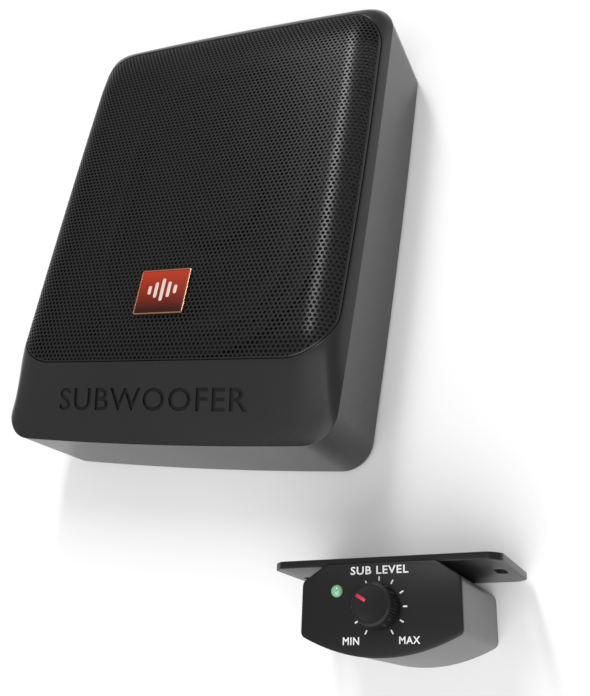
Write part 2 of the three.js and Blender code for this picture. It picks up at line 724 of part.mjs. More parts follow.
for (const [name, { x, z, width, height }] of Object.entries(sockets)) {
  const shell = box(x, panelFace - SOCKET_DEPTH / 2 + 1, z, width, SOCKET_DEPTH, height);
  const mouthWidth = width - 2 * SOCKET_WALL;
  const mouthHeight = height - 2 * SOCKET_WALL;
  const mouth = box(x, panelFace - SOCKET_DEPTH / 2 + 3, z, mouthWidth, SOCKET_DEPTH, mouthHeight);
  add(name, cut(shell, mouth), WHITE);
}

for (const [name, z] of Object.entries(jacks)) {
  const tip = panelFace + JACK_LENGTH;
  const bore = bar(JACK_X, z, tip - JACK_BORE_DEPTH, tip + 1, JACK_BORE_RADIUS, 12);
  const jack = cut(bar(JACK_X, z, panelBack - JACK_LENGTH, tip, JACK_RADIUS), bore);
  add(name, jack, name === 'rca_jack_right' ? RED : WHITE);
}

const fuse = box(FUSE.x, panelFace - 4, panelMiddle, FUSE.width, 12, FUSE.height);
add('fuse', fuse, FUSE_BLUE);

// Each switch rests at its -X end and slides towards +X.
for (const [name, z] of Object.entries(switches)) {
  add(name, box(SWITCH_X - SWITCH_TRAVEL / 2, panelFace - 2, z, SWITCH_KNOB, 8, SWITCH_KNOB), BLACK);
}

['level_dial', 'crossover_dial', 'bass_boost_dial'].forEach((name, i) => {
  const dial = bar(0, 0, panelBack - 4, panelFace + 1.5, DIAL_RADIUS, 24);
  const slot = box(0, panelFace + 1.5, 0, 1.4, 2, 7);
  const pointer = box(0, panelFace + 1.5, DIAL_RADIUS * 0.6, 1.4, 2.6, DIAL_RADIUS);
  add(name, cut(dial, slot, pointer), BLACK).position.set(DIAL_X[i], 0, panelMiddle);
});

add('power_lamp', bar(LAMP_X, panelMiddle, panelBack - 3, panelFace + 0.8, LAMP_RADIUS, 12), RED);

// ---- Amplifier, on the base plate behind the panel ----
const boardFar = panelBack - 3;
const boardNear = driverY + MAGNET_RADIUS + BOARD_CLEARANCE;
const boardY = (boardNear + boardFar) / 2;
const boardDepth = boardFar - boardNear;
const boardTop = BOARD_HEIGHT + BOARD;
add('heat_spreader', box(0, boardY, (BASE_PLATE + BOARD_HEIGHT) / 2, BOARD_WIDTH - 20, boardDepth - 12,
  BOARD_HEIGHT - BASE_PLATE - 2 * GAP), STEEL);
const board = box(0, boardY, BOARD_HEIGHT + BOARD / 2, BOARD_WIDTH, boardDepth, BOARD);
add('amplifier_board', board, BOARD_GREEN);

const partY = (boardNear + boardFar - SOCKET_DEPTH) / 2;
[-44, -26].forEach((x, i) => {
  const lying = bar(x, boardTop + GAP + CAPACITOR_RADIUS, partY - CAPACITOR_LENGTH / 2,
    partY + CAPACITOR_LENGTH / 2, CAPACITOR_RADIUS, 20);
  add(`capacitor_${i + 1}`, lying, BLACK);
});
add('choke', turned([
  [CHOKE_RADIUS / 2, boardTop + GAP], [CHOKE_RADIUS, boardTop + GAP],
  [CHOKE_RADIUS, boardTop + CHOKE_HEIGHT], [CHOKE_RADIUS / 2, boardTop + CHOKE_HEIGHT],
  [CHOKE_RADIUS / 2, boardTop + GAP],
], 20), COPPER).position.set(44, partY, 0);
[0, 14].forEach((x, i) => {
  add(`power_transistor_${i + 1}`, box(x, partY, boardTop + GAP + 2.3, 10, 15, 4.6), BLACK);
});

// ---- Remote level control ----
const remote = new THREE.Group();
remote.position.set(REMOTE_PLACE.x, REMOTE_PLACE.y, REMOTE_DEPTH - FOOT_PROUD);
remote.rotation.z = radians(REMOTE_PLACE.turn);
group.add(remote);

// Outline of the remote's face, d inside its edge: cut top corners and a bowed bottom.
function remoteOutline(d) {
  const side = REMOTE_WIDTH / 2 - d;
  const topSide = REMOTE_TOP_WIDTH / 2 - d * 0.5;
  const sag = REMOTE_SIDE_BOTTOM - REMOTE_BOTTOM;
  const points = [
    new THREE.Vector2(topSide, REMOTE_TOP - d),
    new THREE.Vector2(-topSide, REMOTE_TOP - d),
    new THREE.Vector2(-side, REMOTE_SIDE_TOP - d * 0.5),
  ];
  const steps = 12;
  for (let step = 0; step <= steps; step++) {
    const x = -side + 2 * side * step / steps;
    points.push(new THREE.Vector2(x, REMOTE_SIDE_BOTTOM + d - sag * (1 - (x / side) ** 2)));
  }
  points.push(new THREE.Vector2(side, REMOTE_SIDE_TOP - d * 0.5));
  return points;
}

function remoteSlab(d, low, high) {
  const points = remoteOutline(d);
  return body([{ points, z: low }, { points, z: high }]);
}

const bushingRadius = SHAFT_RADIUS + GAP + BUSHING_WALL;
const nutRadius = (bushingRadius + GAP + NUT_WALL) / Math.cos(Math.PI / 6);
const remoteLampHole = post(REMOTE_LAMP_X, REMOTE_LAMP_Y, -5, 5, REMOTE_LAMP_RADIUS + GAP, 20);
add('remote_face_plate', cut(
  remoteSlab(0, -REMOTE_FACE, 0),
  post(0, 0, -5, 5, bushingRadius + GAP, 20),
  remoteLampHole,
), BLACK, remote);

const remoteSocketWidth = 13;
const remoteSocketHeight = 11;
const remoteSocketDepth = 12;
add('remote_housing', cut(
  remoteSlab(0, -REMOTE_DEPTH, -REMOTE_FACE - GAP),
  remoteSlab(REMOTE_WALL, REMOTE_WALL - REMOTE_DEPTH, 0),
  box(0, 0, -REMOTE_DEPTH, remoteSocketWidth + 2 * GAP, remoteSocketHeight + 2 * GAP, 4 * REMOTE_WALL),
), BLACK, remote);

const socketLow = -REMOTE_DEPTH + 0.5;
add('remote_cable_socket', cut(
  box(0, 0, socketLow + remoteSocketDepth / 2, remoteSocketWidth, remoteSocketHeight, remoteSocketDepth),
  box(0, 0, socketLow + remoteSocketDepth / 2 - 2, remoteSocketWidth - 2 * SOCKET_WALL,
    remoteSocketHeight - 2 * SOCKET_WALL, remoteSocketDepth),
), BLACK, remote);

// The mounting plate lies on the housing's top, with a slotted ear at each side.
const plateLow = REMOTE_TOP + GAP;
const plateMiddle = -1 - PLATE_DEPTH / 2;
const plateHalf = REMOTE_TOP_WIDTH / 2 + EAR;
const slotX = plateHalf - SLOT_INSET;
function mountPlate() {
  const half = plateHalf;
  const depth = PLATE_DEPTH / 2;
  const shape = new THREE.Shape([
    [half - PLATE_CHAMFER, -depth], [half, -depth + PLATE_CHAMFER], [half, depth - PLATE_CHAMFER],
    [half - PLATE_CHAMFER, depth], [PLATE_CHAMFER - half, depth], [-half, depth - PLATE_CHAMFER],
    [-half, PLATE_CHAMFER - depth], [PLATE_CHAMFER - half, -depth],
  ].map(([x, y]) => new THREE.Vector2(x, y)));
  for (const sign of [-1, 1]) {
    const slot = new THREE.Path();
    const end = (SLOT_LENGTH - SLOT_WIDTH) / 2;
    slot.absarc(sign * slotX, end, SLOT_WIDTH / 2, 0, Math.PI);
    slot.absarc(sign * slotX, -end, SLOT_WIDTH / 2, Math.PI, 2 * Math.PI);
    shape.holes.push(slot);
  }
  const plate = new THREE.ExtrudeGeometry(shape, { depth: PLATE, bevelEnabled: false, curveSegments: 6 });
  return plate.rotateX(Math.PI / 2).translate(0, plateLow + PLATE, plateMiddle);
}
add('remote_mount_plate', mountPlate(), BLACK, remote);

// Potentiometer, its nut and its turning shaft, with the knob pushed on.
const potCase = box(0, 0, -REMOTE_FACE - 1 - POT_SIZE / 4, POT_SIZE, POT_SIZE, POT_SIZE / 2);
const bushing = post(0, 0, -REMOTE_FACE - 1.5, BUSHING_HEIGHT, bushingRadius, 20);
add('remote_pot', cut(
  joined(potCase, bushing),
  post(0, 0, -REMOTE_FACE - 6, 5, SHAFT_RADIUS + GAP, 20),
), STEEL, remote);
add('remote_pot_nut', cut(
  post(0, 0, GAP, 1.9, nutRadius, 6),
  post(0, 0, -1, 4, bushingRadius + GAP, 20),
), STEEL, remote);
add('remote_shaft', post(0, 0, -REMOTE_FACE - 5.5, SHAFT_HEIGHT, SHAFT_RADIUS, 20), STEEL, remote);

const pointerMiddle = (POINTER_INNER + POINTER_OUTER) / 2;
const pointerLength = POINTER_OUTER - POINTER_INNER;
function alongPointer(geometry) {
  return geometry.translate(0, pointerMiddle, 0).rotateZ(radians(POINTER_ANGLE));
}
function knob() {
  const rim = 0.6;
  const barrel = turned([
    [0, KNOB_HEIGHT], [KNOB_RADIUS - 1.2, KNOB_HEIGHT], [KNOB_RADIUS - 0.6, KNOB_HEIGHT - rim],
    [KNOB_RADIUS, 0.8], [0, 0.8],
  ].reverse(), 32);
  const groove = alongPointer(box(0, 0, KNOB_HEIGHT, POINTER_WIDTH + 2 * GAP, pointerLength + 2 * GAP, 2));
  return cut(
    barrel,
    post(0, 0, 0, KNOB_CAVITY, nutRadius + KNOB_CLEARANCE, 32),
    post(0, 0, 0, SHAFT_HEIGHT + GAP, SHAFT_RADIUS + GAP, 20),
    groove,
  );
}
add('remote_knob', knob(), BLACK, remote);
add('remote_knob_pointer', alongPointer(
  box(0, 0, KNOB_HEIGHT - POINTER_DEPTH / 2 + 0.2, POINTER_WIDTH, pointerLength, POINTER_DEPTH),
), RED, remote);

add('remote_lamp', turned([
  [0, -6], [REMOTE_LAMP_RADIUS, -6], [REMOTE_LAMP_RADIUS, 0.4],
  [REMOTE_LAMP_RADIUS * 0.8, 1.3], [REMOTE_LAMP_RADIUS * 0.4, 1.8], [0, 2],
], 20), GREEN_LENS, remote).position.set(REMOTE_LAMP_X, REMOTE_LAMP_Y, 0);
add('remote_board', box(0, 0, -REMOTE_FACE - 12, 50, 18, BOARD), BOARD_GREEN, remote);

export default group;
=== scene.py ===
import json
import math

import bmesh
import bpy
from mathutils import Matrix, Vector


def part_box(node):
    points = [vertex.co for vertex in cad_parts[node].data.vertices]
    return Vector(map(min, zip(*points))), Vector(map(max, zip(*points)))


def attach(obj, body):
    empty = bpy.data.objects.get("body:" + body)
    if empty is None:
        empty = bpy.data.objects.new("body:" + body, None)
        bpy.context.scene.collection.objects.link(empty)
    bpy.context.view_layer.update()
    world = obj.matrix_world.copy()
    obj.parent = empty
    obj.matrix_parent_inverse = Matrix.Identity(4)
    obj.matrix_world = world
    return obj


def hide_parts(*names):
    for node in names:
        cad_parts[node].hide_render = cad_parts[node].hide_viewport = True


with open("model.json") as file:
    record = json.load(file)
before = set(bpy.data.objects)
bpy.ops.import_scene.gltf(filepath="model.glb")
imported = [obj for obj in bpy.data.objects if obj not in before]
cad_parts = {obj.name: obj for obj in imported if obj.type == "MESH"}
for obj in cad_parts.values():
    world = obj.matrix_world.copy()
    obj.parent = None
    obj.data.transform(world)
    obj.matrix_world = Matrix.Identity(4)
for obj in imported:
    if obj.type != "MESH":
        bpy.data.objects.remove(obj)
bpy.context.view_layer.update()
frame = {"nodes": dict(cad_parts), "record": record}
node = frame["nodes"]
MM = 0.001


# Camera. It stands above the right-hand near corner of the enclosure, rolled a little.
right = Vector((0.9174, 0.1338, -0.3748))
down = Vector((-0.0345, -0.9115, -0.4098))
forward = Vector((-0.3965, 0.3889, -0.8316))
camera = bpy.data.objects.new("camera", bpy.data.cameras.new("camera"))
bpy.context.scene.collection.objects.link(camera)
turn = Matrix((right, -down, -forward)).transposed()
camera.matrix_world = Matrix.Translation((0.2578, -0.2268, 0.3939)) @ turn.to_4x4()
camera.data.sensor_width = 36
camera.data.lens = 43.59
camera.data.shift_x = -0.0689
camera.data.shift_y = -0.0424
camera.data.clip_start = 0.01
camera.data.clip_end = 20
bpy.context.scene.camera = camera


# Studio. A pale floor at the feet's height, an even grey room, a wide soft box in front, and a
# long narrow one overhead that draws the highlight along the grille's right shoulder.
bpy.context.scene.view_settings.view_transform = "Standard"
world = bpy.data.worlds.new("room")
world.use_nodes = True
world.node_tree.nodes["Background"].inputs["Color"].default_value = (1, 1, 1, 1)
world.node_tree.nodes["Background"].inputs["Strength"].default_value = 0.38
bpy.context.scene.world = world


def soft_box(name, place, aim, width, length, power):
    lamp = bpy.data.objects.new(name, bpy.data.lights.new(name, "AREA"))
    lamp.data.shape = "RECTANGLE"
    lamp.data.size = width
    lamp.data.size_y = length
    lamp.data.energy = power
    lamp.location = place
    lamp.rotation_euler = (Vector(aim) - Vector(place)).to_track_quat("-Z", "Y").to_euler()
    bpy.context.scene.collection.objects.link(lamp)


soft_box("long_box", (-0.13, 0.62, 0.9), (0.0, 0.1, 0.05), 0.12, 0.8, 5.5)
soft_box("fill_box", (0.5, -1.3, 1.4), (0.0, 0.0, 0.0), 2.4, 2.4, 40)


class Wire:
    """A socket that arithmetic works on: each step adds its Math node."""

    def __init__(self, tree, socket=None):
        self.tree = tree
        self.socket = socket

    def add(self, kind, settings=None, sockets=None, out=0):
        made = self.tree.nodes.new(kind)
        for name, value in (settings or {}).items():
            if name == "stops":
                ramp = made.color_ramp.elements
                while len(ramp) < len(value):
                    ramp.new(1)
                for stop, (position, colour) in zip(ramp, value):
                    stop.position = position
                    stop.color = colour
            else:
                setattr(made, name, value)
        for name, value in (sockets or {}).items():
            if isinstance(value, Wire):
                self.tree.links.new(value.socket, made.inputs[name])
            else:
                made.inputs[name].default_value = value
        return Wire(self.tree, made.outputs[out])

    def math(self, operation, *values):
        return self.add("ShaderNodeMath", {"operation": operation}, dict(enumerate(values)))

    def __add__(self, other):
        return self.math("ADD", self, other)

    __radd__ = __add__

    def __sub__(self, other):
        return self.math("SUBTRACT", self, other)

    def __rsub__(self, other):
        return self.math("SUBTRACT", other, self)

    def __mul__(self, other):
        return self.math("MULTIPLY", self, other)

    __rmul__ = __mul__

    def __truediv__(self, other):
        return self.math("DIVIDE", self, other)

    def __lt__(self, other):
        return self.math("LESS_THAN", self, other)

    def __gt__(self, other):
        return self.math("GREATER_THAN", self, other)

    def blend(self, factor, first, second):
        """A colour between two others."""
        settings = {"data_type": "RGBA", "blend_type": "MIX"}
        return self.add("ShaderNodeMix", settings, {0: factor, 6: first, 7: second}, out=2)

    def noise(self, size, detail=2.0, out=0):
        """Noise whose lumps are size metres across."""
        place = self.add("ShaderNodeTexCoord", out=3)
        sockets = {"Vector": place, "Scale": 1 / size, "Detail": detail}
        return self.add("ShaderNodeTexNoise", None, sockets, out=out)


def grey(value):
    return (value, value, value, 1.0)


def finish(name, dress, **constants):
    """A material: dress gets a Wire to build with and returns what feeds the shader."""
    made = bpy.data.materials.new(name)
    made.use_nodes = True
    shader = made.node_tree.nodes["Principled BSDF"]
    for socket, value in constants.items():
        shader.inputs[socket.replace("_", " ")].default_value = value
    for socket, value in dress(Wire(made.node_tree)).items():
        made.node_tree.links.new(value.socket, shader.inputs[socket])
    return made


def bumped(wire, height, depth, strength=1.0):
    """Normals from a height of 0 to 1, depth metres high."""
    return wire.add("ShaderNodeBump", None, {"Height": height, "Distance": depth, "Strength": strength})


def floor_paper(wire):
    return {"Base Color": wire.blend(wire.noise(0.3), grey(0.90), grey(0.93))}


FLOOR_HALF = 6.0
bm = bmesh.new()
bmesh.ops.create_grid(bm, x_segments=1, y_segments=1, size=FLOOR_HALF)
bmesh.ops.translate(bm, verts=bm.verts, vec=(0, 0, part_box("foot_1")[0].z))
sheet = bpy.data.meshes.new("floor")
bm.to_mesh(sheet)
bm.free()
sheet.materials.append(finish("floor_paper", floor_paper, Roughness=0.9))
floor = bpy.data.objects.new("floor", sheet)
bpy.context.scene.collection.objects.link(floor)


# Housing. One injection moulding in charcoal ABS: leaning walls, a pillow-shaped face that slopes
# down to a plain band with a word sunk into it, and a recessed deck that carries the woofer.
def track(x, near, far, radius, bow_x=0.0, bow_y=0.0):
    """A rounded rectangle in mm. Its sides bow out by bow_x and its ends by bow_y."""
    return {"x": x, "near": near, "far": far, "radius": radius, "bow_x": bow_x, "bow_y": bow_y}


def inset(rect, d):
    return dict(rect, x=rect["x"] - d, near=rect["near"] + d, far=rect["far"] - d, radius=rect["radius"] - d)


def ring_of_edges(bm, rect, z, corner_steps=10, side_cuts=31):
    """Adds the rounded rectangle as a closed loop of edges, in mm. z is a height or a function of x and y."""
    known = set(bm.edges)
    half = (rect["far"] - rect["near"]) / 2
    middle = (rect["far"] + rect["near"]) / 2
    corners = bmesh.ops.create_grid(bm, x_segments=1, y_segments=1, size=1.0)["verts"]
    bmesh.ops.scale(bm, verts=corners, vec=(rect["x"], half, 1))
    radius = max(0.2, min(rect["radius"], rect["x"] * 0.99, half * 0.99))
    bmesh.ops.bevel(bm, geom=corners, offset=radius, offset_type="OFFSET", segments=corner_steps,
                    profile=0.5, affect="VERTICES", material=-1)
    edges = [e for e in bm.edges if e not in known]
    spans = [(e, e.verts[0].co - e.verts[1].co) for e in edges]
    sides = [e for e, span in spans if min(abs(span.x), abs(span.y)) < 1e-4]
    bmesh.ops.subdivide_edges(bm, edges=sides, cuts=side_cuts)
    edges = [e for e in bm.edges if e not in known]
    points = {v for e in edges for v in e.verts}
    for v in points:
        across = 1 - (v.co.y / half) ** 2
        along = 1 - (v.co.x / rect["x"]) ** 2
        v.co.x += math.copysign(rect["bow_x"] * across, v.co.x) if abs(v.co.x) > 1e-6 else 0
        v.co.y += math.copysign(rect["bow_y"] * along, v.co.y) if abs(v.co.y) > 1e-6 else 0
        v.co.y += middle
        v.co.z = z(v.co.x, v.co.y) if callable(z) else z
    faces = {f for e in edges for f in e.link_faces}
    bmesh.ops.delete(bm, geom=list(faces), context="FACES_ONLY")
    return edges


def stack(bm, sections, closed=False):
    """Joins rounded rectangles, each at its height, into one skin, then caps or closes it."""
    bands = list(zip(sections, sections[1:]))
    if closed:
        bands.append((sections[-1], sections[0]))
    else:
        bands += [sections[:1], sections[-1:]]
    for ends in bands:
        band = bmesh.new()
        edges = [edge for rect, z in ends for edge in ring_of_edges(band, rect, z)]
        if len(ends) == 2:
            bmesh.ops.bridge_loops(band, edges=edges)
        else:
            bmesh.ops.contextual_create(band, geom=edges)
        mesh = bpy.data.meshes.new("band")
        band.to_mesh(mesh)
        band.free()
        bm.from_mesh(mesh)
        bpy.data.meshes.remove(mesh)
    bmesh.ops.remove_doubles(bm, verts=bm.verts, dist=0.001)
    bmesh.ops.recalc_face_normals(bm, faces=bm.faces)


def put(name, bm, material, body, slot, *stands_for, crease=40, place=None):
    """Turns mm into metres, smooths the faces, marks sharp edges and fixes the piece to its body."""
    bmesh.ops.scale(bm, verts=bm.verts, vec=(MM, MM, MM))
    if place:
        bmesh.ops.transform(bm, verts=bm.verts, matrix=place)
    for face in bm.faces:
        face.smooth = True
    for edge in bm.edges:
        edge.smooth = len(edge.link_faces) == 2 and edge.calc_face_angle(0) < math.radians(crease)
    mesh = bpy.data.meshes.new(name)
    bm.to_mesh(mesh)
    bm.free()
    mesh.materials.append(material)
    piece = bpy.data.objects.new(name, mesh)
    bpy.context.scene.collection.objects.link(piece)
    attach(piece, body)
    if stands_for:
        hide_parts(*stands_for)
    return piece


def lettering(words, width, cap, centre, low, high, bold):
    """A bmesh of the words, width by cap mm, in the XY plane, from z = low to high."""
    curve = bpy.data.curves.new("words", "FONT")
    curve.body = words
    curve.align_x = "CENTER"
    curve.resolution_u = 3
    curve.offset = bold
    curve.space_character = 1.1
    curve.extrude = 0.5
    text = bpy.data.objects.new("words", curve)
    mesh = bpy.data.meshes.new_from_object(text)
    bpy.data.objects.remove(text)
    bm = bmesh.new()
    bm.from_mesh(mesh)
    bmesh.ops.remove_doubles(bm, verts=bm.verts, dist=1e-5)
    left, right = min(v.co.x for v in bm.verts), max(v.co.x for v in bm.verts)
    foot, top = min(v.co.y for v in bm.verts), max(v.co.y for v in bm.verts)
    bmesh.ops.translate(bm, verts=bm.verts, vec=(-(left + right) / 2, -(foot + top) / 2, 0))
    bmesh.ops.scale(bm, verts=bm.verts, vec=(width / (right - left), cap / (top - foot), high - low))
    bmesh.ops.translate(bm, verts=bm.verts, vec=(centre[0], centre[1], (low + high) / 2))
    return bm


def cut_away(piece, cutter):
    """Cuts a bmesh, in mm, out of a piece."""
    bmesh.ops.scale(cutter, verts=cutter.verts, vec=(MM, MM, MM))
    mesh = bpy.data.meshes.new("cutter")
    cutter.to_mesh(mesh)
    cutter.free()
    tool = bpy.data.objects.new("cutter", mesh)
    bpy.context.scene.collection.objects.link(tool)
    modifier = piece.modifiers.new("cut", "BOOLEAN")
    modifier.operation = "DIFFERENCE"
    modifier.solver = "EXACT"
    modifier.use_self = True
    modifier.object = tool
    bpy.context.view_layer.update()
    cut = bpy.data.meshes.new_from_object(piece.evaluated_get(bpy.context.evaluated_depsgraph_get()))
    piece.modifiers.clear()
    piece.data = cut
    bpy.data.objects.remove(tool)
    bm = bmesh.new()
    bm.from_mesh(cut)
    for edge in bm.edges:
        edge.smooth = len(edge.link_faces) == 2 and edge.calc_face_angle(0) < math.radians(30)
    bm.to_mesh(cut)
    bm.free()


def even_shading(piece):
    """Lets big faces decide the normals, so that cut edges leave no streaks."""
    modifier = piece.modifiers.new("even_shading", "WEIGHTED_NORMAL")
    modifier.keep_sharp = True


def inside_distance(rect, x, y):
    """How far a point is inside a rounded rectangle."""
    half = (rect["far"] - rect["near"]) / 2
    y -= (rect["far"] + rect["near"]) / 2
    across = abs(x) - rect["bow_x"] * (1 - min(1, (y / half) ** 2)) - rect["x"] + rect["radius"]
    along = abs(y) - rect["bow_y"] * (1 - min(1, (x / rect["x"]) ** 2)) - half + rect["radius"]
    reach = math.hypot(across, along) if across > 0 and along > 0 else max(across, along)
    return rect["radius"] - reach


CREASE_HEIGHT = 51.4
FACE_RISE = 14.1
SIDE_SHOULDER = 21
FAR_SHOULDER = 40
EDGE_SHOULDER = 6
NEAR_RAMP = 47
RECESS = 50.0
DECK_UNDERSIDE = 46.0
RAMP_EASE = 0.15
crease = track(98.9, -130.6, 130.6, 16, 1.4, 2.2)
base = inset(crease, 1.4)
opening = track(95.8, -91.6, 122.0, 24, 1.4, 0.4)
driver = track(76, -86.25, 116.65, 62)
basket_top = inset(driver, 8)
deck_hole = inset(basket_top, -0.6)
inside = inset(base, 3)


def shoulder(distance, width):
    """A quarter of an ellipse, from 0 at the edge to 1 a width inside it."""
    part = min(1, max(0, distance / width))
    return math.sqrt(1 - (1 - part) ** 2)


def ramp(distance, length):
    """A straight slope that eases into the level top."""
    part = min(1 + RAMP_EASE, max(0, distance / length))
    eased = max(0, part - 1 + RAMP_EASE)
    return part - eased ** 2 / (4 * RAMP_EASE)


def face_height(x, y):
    """The face is a pillow: rounded down to the sides and the far end, sloping to the near end."""
    bow = crease["bow_y"] * (1 - min(1, (x / crease["x"]) ** 2))
    side = crease["x"] + crease["bow_x"] * (1 - (y / crease["far"]) ** 2) - abs(x)
    rise = shoulder(side, SIDE_SHOULDER) * shoulder(crease["far"] + bow - y, FAR_SHOULDER)
    rise *= ramp(y - crease["near"] + bow, NEAR_RAMP)
    rise *= shoulder(inside_distance(crease, x, y), EDGE_SHOULDER)
    return CREASE_HEIGHT + FACE_RISE * rise


def face_less(drop):
    """Height of a surface that lies drop mm under the face."""
    return lambda x, y: face_height(x, y) - drop


def mixed(first, second, part):
    """A rounded rectangle between two others."""
    return {key: first[key] + (second[key] - first[key]) * part for key in first}


LIP = 0.6
sections = [(inset(base, LIP), 0.0), (base, LIP), (inset(crease, 0.7), CREASE_HEIGHT / 2),
            (inset(crease, 0.1), CREASE_HEIGHT - 0.5), (crease, CREASE_HEIGHT)]
for part in (0.006, 0.025, 0.06, 0.11, 0.18, 0.27, 0.38, 0.5, 0.62, 0.74, 0.86, 0.94, 1.0):
    sections.append((mixed(crease, inset(opening, -LIP), part), face_height))
sections += [
    (inset(opening, -0.18), face_less(0.18)),
    (opening, face_less(LIP)),
    (opening, RECESS),
    (inset(opening, 3), RECESS),
    (deck_hole, RECESS),
    (deck_hole, DECK_UNDERSIDE),
    (inset(inside, 4), DECK_UNDERSIDE),
    (inside, DECK_UNDERSIDE),
    (inside, 0.0),
]
bm = bmesh.new()
stack(bm, sections, closed=True)


def shell_plastic(wire):
    """Charcoal plastic, with painted shade: the floors of the letters cut into the sloping band are made near
    black.
    """
    place = wire.add("ShaderNodeTexCoord", out=3)
    across, along, height = [
        wire.add("ShaderNodeSeparateXYZ", None, {0: place}, out=axis) for axis in range(3)
    ]
    bow = (1 - across * across * 102) * (crease["bow_y"] * MM)
    slope = (along + bow - crease["near"] * MM) * (FACE_RISE / NEAR_RAMP) + CREASE_HEIGHT * MM
    on_band = (along < -0.102) * (along > -0.120) * (across < 0.066) * (across > -0.070)
    # Painted shade: the floors of the letters are darkened to near black, standing for the shade in these
    # recesses.
    painted_letter_shade = (height < slope - 0.0003) * (height > 0.0515) * on_band
    grain = wire.noise(0.0005, 3)
    cloudy = wire.noise(0.05)
    colour = wire.blend(cloudy, grey(0.013), grey(0.017))
    return {
        "Base Color": wire.blend(painted_letter_shade, colour, grey(0.004)),
        "Roughness": cloudy * 0.05 + grain * 0.08 + 0.22,
        "Normal": bumped(wire, grain, 0.00002, 0.35),
    }


charcoal = finish("charcoal_plastic", shell_plastic, IOR=1.42)
housing = put("housing", bm, charcoal, "enclosure", "shell_plastic", "housing_shell", crease=30)
WORD_WIDTH = 115
WORD_CAP = 11.9
WORD_DEPTH = 0.9
WORD_X, WORD_Y = -4, -110.9
words = lettering("SUBWOOFER", WORD_WIDTH, WORD_CAP, (0, 0), -WORD_DEPTH, 3, 0.012)
tilt = Matrix.Rotation(math.atan(FACE_RISE / NEAR_RAMP), 4, "X")
on_face = Matrix.Translation((WORD_X, WORD_Y, face_height(WORD_X, WORD_Y)))
bmesh.ops.transform(words, verts=words.verts, matrix=on_face @ tilt)
cut_away(housing, words)
WINDOW = (156.6, 18, 34.6)
WINDOW_MIDDLE = (0, 129.9, 25)
window = bmesh.new()
bmesh.ops.create_cube(window, size=1)
bmesh.ops.scale(window, verts=window.verts, vec=WINDOW)
bmesh.ops.translate(window, verts=window.verts, vec=WINDOW_MIDDLE)
cut_away(housing, window)
even_shading(housing)


# Grille. A steel sheet punched with thousands of holes and drawn to the face's curve, its rim
# folded down and powder coated black. It drops into the face's opening.
PITCH = 2.6
ROW = PITCH * math.sqrt(3) / 2
HOLE = 0.99  # how far the corners of the triangles are cut back, which opens a six-sided hole
SHEET = 0.8
GRILLE_DROP = 0.2
GRILLE_GAP = 0.3
STEP = 0.1
TRIM = 0.7
ROUND = 0.5
grille_edge = inset(opening, GRILLE_GAP)
middle = (opening["near"] + opening["far"]) / 2


def sheet_places(height, reach):
    """Plan distance from the middle for every STEP along the sheet, until reach is passed."""
    places = [0.0]
    while places[-1] < reach:
        here = places[-1]
        rise = (height(here + STEP) - height(here)) / STEP
        places.append(here + STEP / math.hypot(1, rise))
    return places


def on_sheet(places, along):
    """Plan distance of a point that lies along mm from the middle, measured on the sheet."""
    part = min(along / STEP, len(places) - 2)
    low = int(part)
    return places[low] + (places[low + 1] - places[low]) * (along / STEP - low)


sideways = sheet_places(lambda d: face_height(d, middle), grille_edge["x"] + 1.4)
farward = sheet_places(lambda d: face_height(0, middle + d), grille_edge["far"] - middle + 1)
nearward = sheet_places(lambda d: face_height(0, middle - d), middle - grille_edge["near"] + 1)
columns = int(2 * len(sideways) * STEP / PITCH) + 4
rows = int(2 * max(len(farward), len(nearward)) * STEP / ROW) + 4
bm = bmesh.new()
bmesh.ops.create_grid(bm, x_segments=columns, y_segments=rows, size=0.5)
for v in bm.verts:
    column, row = round((v.co.x + 0.5) * columns), round((v.co.y + 0.5) * rows)
    v.co.x = (column - columns / 2 + (0.5 if row % 2 else 0)) * PITCH
    v.co.y = (row - rows / 2) * ROW
bmesh.ops.triangulate(bm, faces=bm.faces, quad_method="SHORT_EDGE")
inner = [v for v in bm.verts if not v.is_boundary]
bmesh.ops.bevel(bm, geom=inner, offset=HOLE, offset_type="OFFSET", segments=1, profile=0.5,
                affect="VERTICES", material=-1)
holes = [f for f in bm.faces if f.calc_area() > 2.2 * HOLE ** 2]
bmesh.ops.delete(bm, geom=holes, context="FACES")
for v in bm.verts:
    v.co.x = math.copysign(on_sheet(sideways, abs(v.co.x)), v.co.x)
    v.co.y = middle + (on_sheet(farward, v.co.y) if v.co.y > 0 else -on_sheet(nearward, -v.co.y))
rim = bmesh.new()
for edge in ring_of_edges(rim, inset(grille_edge, TRIM), 0, side_cuts=7):  # cut to the opening's outline
    a, b = (v.co for v in edge.verts)
    outward = (b - a).cross(Vector((0, 0, 1))).normalized()
    if outward.dot(a - Vector((0, middle, 0))) < 0:
        outward.negate()
    bmesh.ops.bisect_plane(bm, geom=bm.verts[:] + bm.edges[:] + bm.faces[:], dist=1e-5,
                           plane_co=a, plane_no=outward, clear_outer=True)
rim.free()
bmesh.ops.solidify(bm, geom=bm.faces[:], thickness=SHEET)
top_z = max(v.co.z for v in bm.verts)
for v in bm.verts:
    x, y, depth = v.co.x, v.co.y, top_z - v.co.z
    top = face_height(x, y)
    normal = Vector((top - face_height(x + STEP, y), top - face_height(x, y + STEP), STEP)).normalized()
    v.co = Vector((x, y, top - GRILLE_DROP)) - normal * depth


def grille_coat(wire):
    speck = wire.noise(0.0004, 2)
    return {
        "Base Color": wire.blend(wire.noise(0.03), grey(0.008), grey(0.011)),
        "Roughness": speck * 0.1 + 0.26,
        "Normal": bumped(wire, speck, 0.00002, 0.3),
    }


black_coat = finish("black_powder_coat", grille_coat, IOR=1.42)
put("grille_mesh", bm, black_coat, "enclosure", "grille_mesh", "grille", crease=50)

